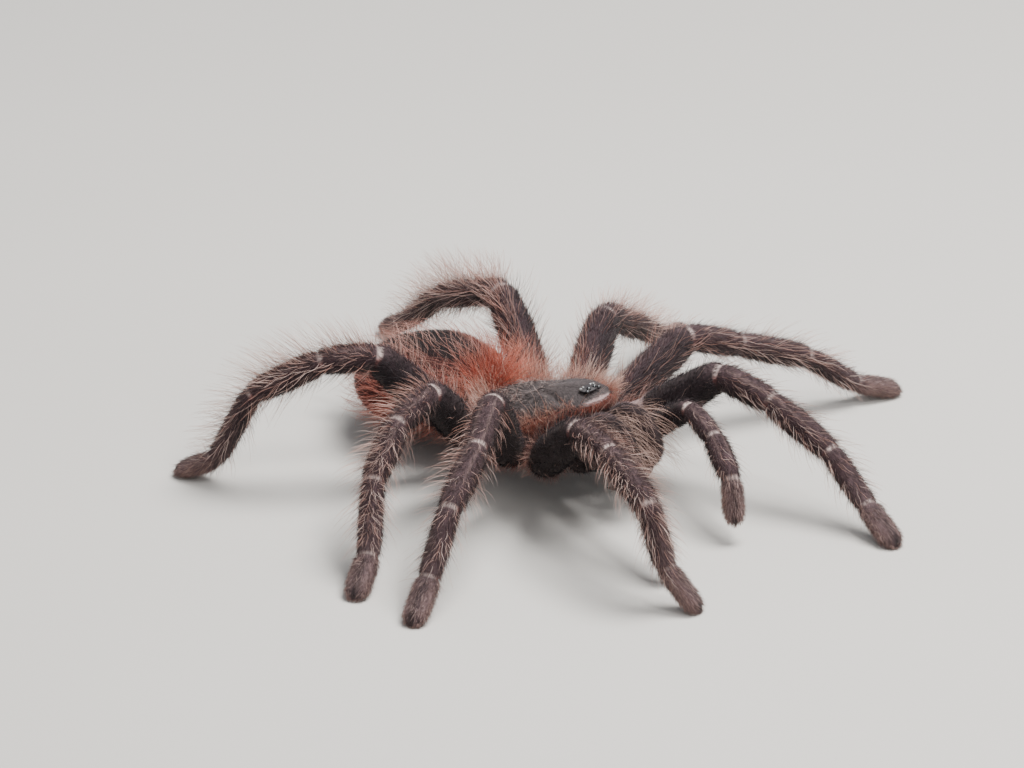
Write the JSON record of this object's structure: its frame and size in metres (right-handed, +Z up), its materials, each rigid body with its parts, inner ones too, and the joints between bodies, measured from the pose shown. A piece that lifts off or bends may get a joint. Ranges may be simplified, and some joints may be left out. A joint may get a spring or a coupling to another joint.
{
  "type": "tarantula model",
  "caption": "Life-size museum-type model of a large hairy tarantula standing on spread legs, with domed carapace, jaws, palps and a rounded hairy abdomen",
  "frame": {"origin": "on the floor, under the middle of the bounding box", "axes": "+X points ahead of the head, +Y to the spider's left, +Z up"},
  "size_m": [0.1348, 0.1348, 0.0291],
  "materials": {
    "leg_coat": "dark brown velvet of short hairs with long pale ones",
    "foot_pads": "dense grey-brown velvet with a dark pad below",
    "carapace_coat": "short flat grey-brown hairs over a hard plate",
    "chelicera_coat": "grey-brown hairs with long pinkish ones",
    "abdomen_coat": "black-brown velvet with long red-orange hairs",
    "underside_coat": "near-black velvet",
    "eyes": "glossy black",
    "fangs": "polished black horn"
  },
  "bodies": {
    "root": {"sternum_and_coxae": "underside_coat", "carapace": "carapace_coat", "eye_tubercle": "eyes", "pedicel": "underside_coat", "abdomen": "abdomen_coat", "left_chelicera": "chelicera_coat", "left_fang": "fangs", "left_spinneret": "underside_coat", "right_chelicera": "chelicera_coat", "right_fang": "fangs", "right_spinneret": "underside_coat", "left_palp_femur": "leg_coat", "left_palp_patella": "leg_coat", "left_palp_tibia": "leg_coat", "left_palp_tarsus": "foot_pads", "left_leg_1_femur": "leg_coat", "left_leg_1_patella": "leg_coat", "left_leg_1_tibia": "leg_coat", "left_leg_1_metatarsus": "leg_coat", "left_leg_1_tarsus": "foot_pads", "left_leg_2_femur": "leg_coat", "left_leg_2_patella": "leg_coat", "left_leg_2_tibia": "leg_coat", "left_leg_2_metatarsus": "leg_coat", "left_leg_2_tarsus": "foot_pads", "left_leg_3_femur": "leg_coat", "left_leg_3_patella": "leg_coat", "left_leg_3_tibia": "leg_coat", "left_leg_3_metatarsus": "leg_coat", "left_leg_3_tarsus": "foot_pads", "left_leg_4_femur": "leg_coat", "left_leg_4_patella": "leg_coat", "left_leg_4_tibia": "leg_coat", "left_leg_4_metatarsus": "leg_coat", "left_leg_4_tarsus": "foot_pads", "right_palp_femur": "leg_coat", "right_palp_patella": "leg_coat", "right_palp_tibia": "leg_coat", "right_palp_tarsus": "foot_pads", "right_leg_1_femur": "leg_coat", "right_leg_1_patella": "leg_coat", "right_leg_1_tibia": "leg_coat", "right_leg_1_metatarsus": "leg_coat", "right_leg_1_tarsus": "foot_pads", "right_leg_2_femur": "leg_coat", "right_leg_2_patella": "leg_coat", "right_leg_2_tibia": "leg_coat", "right_leg_2_metatarsus": "leg_coat", "right_leg_2_tarsus": "foot_pads", "right_leg_3_femur": "leg_coat", "right_leg_3_patella": "leg_coat", "right_leg_3_tibia": "leg_coat", "right_leg_3_metatarsus": "leg_coat", "right_leg_3_tarsus": "foot_pads", "right_leg_4_femur": "leg_coat", "right_leg_4_patella": "leg_coat", "right_leg_4_tibia": "leg_coat", "right_leg_4_metatarsus": "leg_coat", "right_leg_4_tarsus": "foot_pads"}
  },
  "joints": []
}
